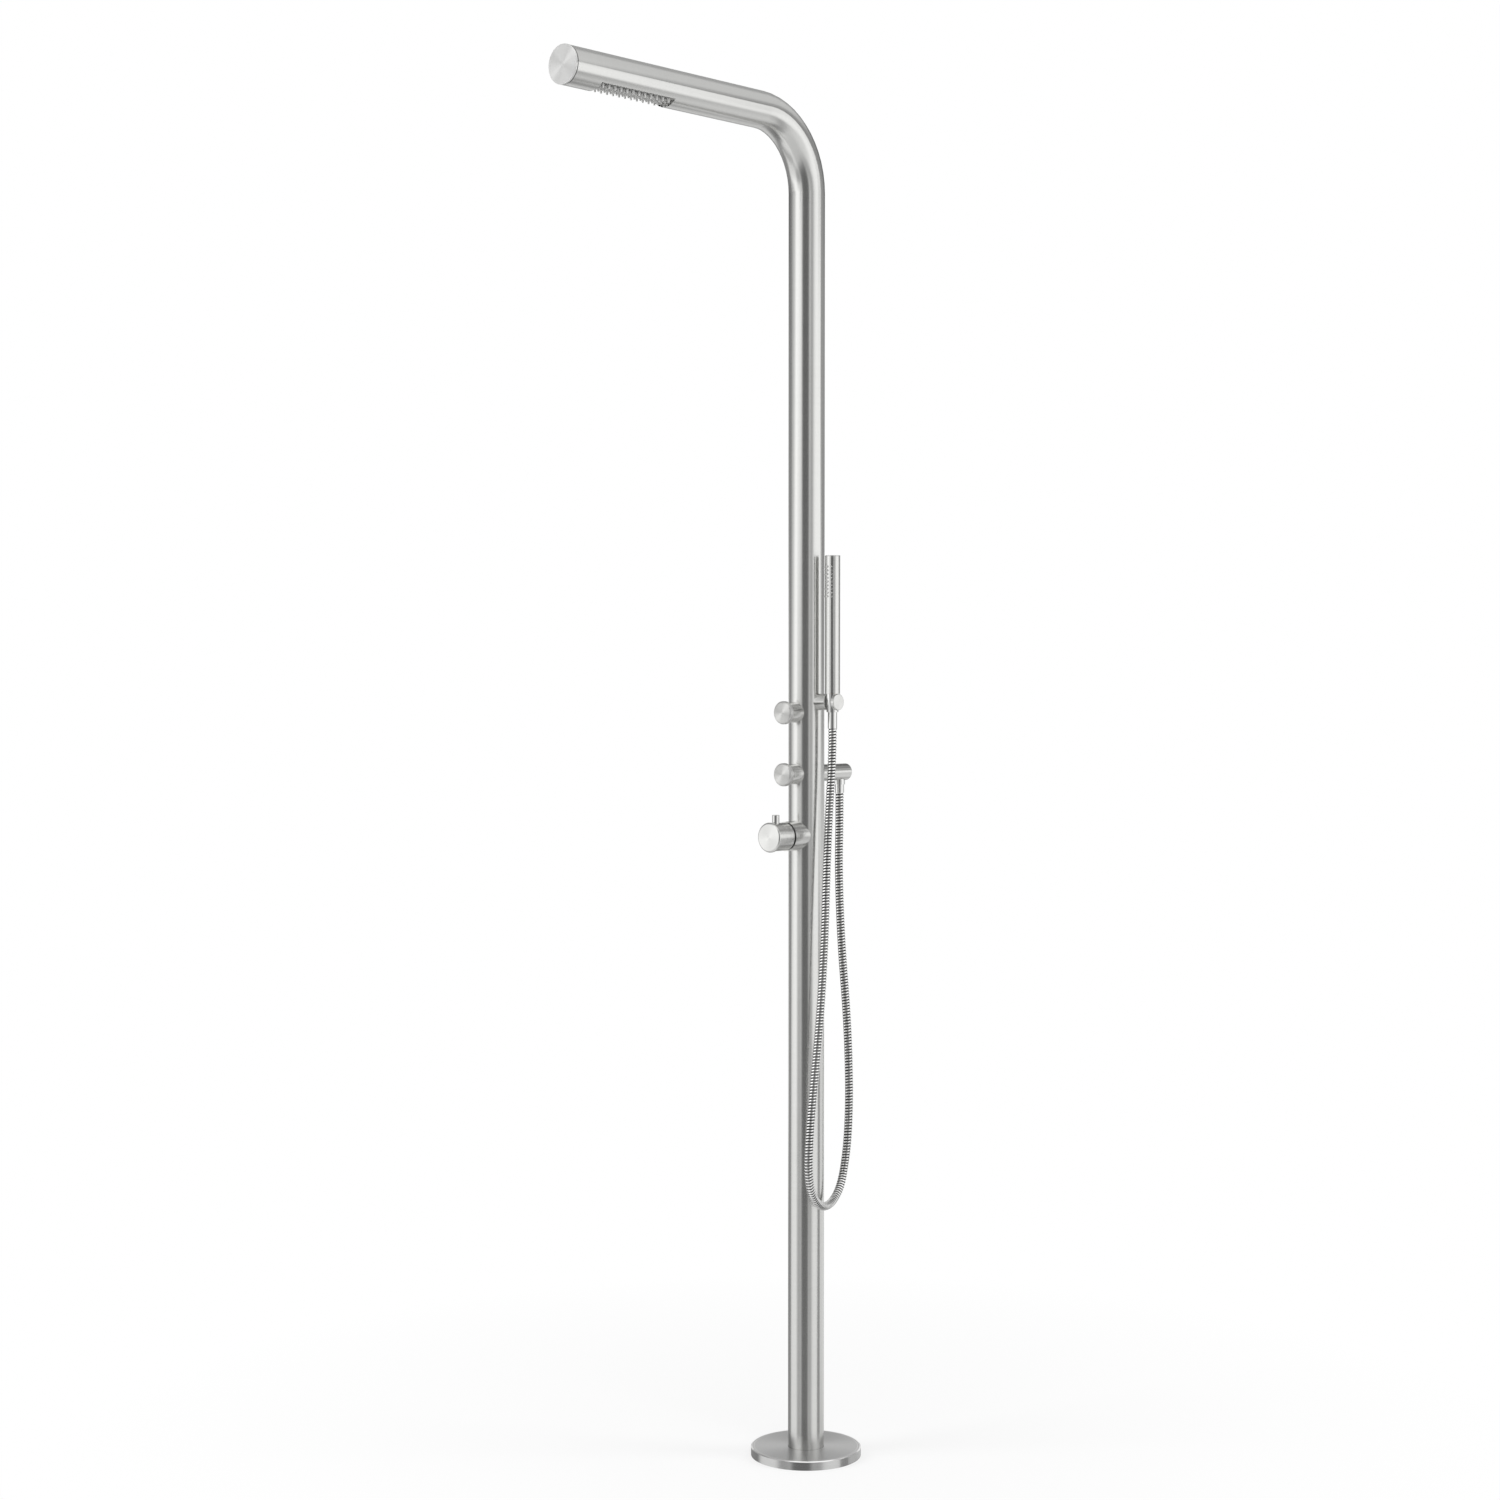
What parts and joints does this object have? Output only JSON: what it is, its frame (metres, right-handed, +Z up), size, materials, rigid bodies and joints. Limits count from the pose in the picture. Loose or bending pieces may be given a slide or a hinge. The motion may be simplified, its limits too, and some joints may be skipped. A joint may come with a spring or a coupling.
{
  "type": "outdoor shower post",
  "caption": "Free-standing outdoor shower post of bent round steel tube with a spray insert in its arm, stop valves, a lever mixer and a hand shower on a hose.",
  "frame": {"origin": "centre of the foot's anchor bolt circle at the floor, on the post's axis", "axes": "+Z up along the post; -Y is the front, where the arm, the knobs and the mixer point; +X is the hand shower's side"},
  "size_m": [0.184, 0.663, 2.25],
  "materials": {
    "brushed_stainless": "fine brushed stainless steel",
    "satin_stainless": "satin stainless steel",
    "polished_stainless": "polished stainless steel",
    "hose_stainless": "wound stainless strip",
    "plain_stainless": "rolled stainless plate",
    "stainless_pipe": "drawn stainless pipe",
    "cast_brass": "machined brass",
    "dark_steel": "dark steel screw",
    "black_rubber": "moulded black rubber",
    "grey_silicone": "moulded grey silicone",
    "white_plastic": "moulded pale plastic",
    "black_plastic": "moulded black plastic"
  },
  "bodies": {
    "post": {"post_tube": "brushed_stainless", "base_cover": "satin_stainless", "floor_flange": "plain_stainless", "cover_ring": "black_rubber", "inlet_block": "cast_brass", "check_valves": "white_plastic", "hot_riser": "stainless_pipe", "cold_riser": "stainless_pipe", "riser_nuts": "cast_brass", "pipe_spacers": "white_plastic", "mixer_body": "cast_brass", "mixer_bush": "cast_brass", "mixer_cartridge": "white_plastic", "cartridge_nut": "cast_brass", "mixer_sleeve": "brushed_stainless", "mixer_slip_ring": "black_plastic", "lower_link_pipe": "stainless_pipe", "upper_link_pipe": "stainless_pipe", "link_nuts": "cast_brass", "head_feed_pipe": "stainless_pipe", "outlet_nipple": "stainless_pipe", "outlet_elbow": "brushed_stainless", "outlet_washer": "black_rubber", "hose_connector": "polished_stainless", "lower_hose_sleeve": "polished_stainless", "hose": "hose_stainless", "handset_holder": "brushed_stainless", "holder_screw": "dark_steel", "spray_plate": "brushed_stainless", "spray_nozzles": "grey_silicone", "spray_chamber": "white_plastic", "arm_end_cap": "brushed_stainless", "cap_seal_ring": "black_rubber", "lower_valve_body": "cast_brass", "lower_valve_cartridge": "cast_brass", "lower_knob_collar": "brushed_stainless", "upper_valve_body": "cast_brass", "upper_valve_cartridge": "cast_brass", "upper_knob_collar": "brushed_stainless"},
    "mixer_lever": {"mixer_handle": "brushed_stainless", "lever_pin": "brushed_stainless", "handle_screw": "dark_steel", "mixer_stem": "cast_brass"},
    "lower_valve_knob": {"lower_knob": "brushed_stainless", "lower_valve_stem": "cast_brass", "lower_knob_screw": "dark_steel"},
    "upper_valve_knob": {"upper_knob": "brushed_stainless", "upper_valve_stem": "cast_brass", "upper_knob_screw": "dark_steel"},
    "hose_end": {"upper_hose_sleeve": "polished_stainless"},
    "handset": {"hose_cone_nut": "polished_stainless", "handset_washer": "black_rubber", "handset_shank": "cast_brass", "handset_tube": "brushed_stainless", "handset_cap": "brushed_stainless", "handset_nozzles": "grey_silicone", "handset_inner_tube": "white_plastic"}
  },
  "joints": [
    {"name": "mixer_turn", "type": "hinge", "parent": "post", "child": "mixer_lever", "pos_m": [0, -0.075, 1.0405], "axis": [0, -1, 0], "range_deg": [-45, 45]},
    {"name": "lower_knob_turn", "type": "hinge", "parent": "post", "child": "lower_valve_knob", "pos_m": [0, -0.058, 1.1425], "axis": [0, -1, 0], "range_deg": [0, 90]},
    {"name": "upper_knob_turn", "type": "hinge", "parent": "post", "child": "upper_valve_knob", "pos_m": [0, -0.058, 1.2445], "axis": [0, -1, 0], "range_deg": [0, 90]},
    {"name": "handset_lift", "type": "slide", "parent": "post", "child": "hose_end", "axis": [0, 0, 1], "range_m": [0, 0.25]},
    {"name": "handset_turn", "type": "hinge", "parent": "hose_end", "child": "handset", "pos_m": [0.0565, 0, 1.26], "axis": [0, 0, 1], "continuous": true}
  ]
}
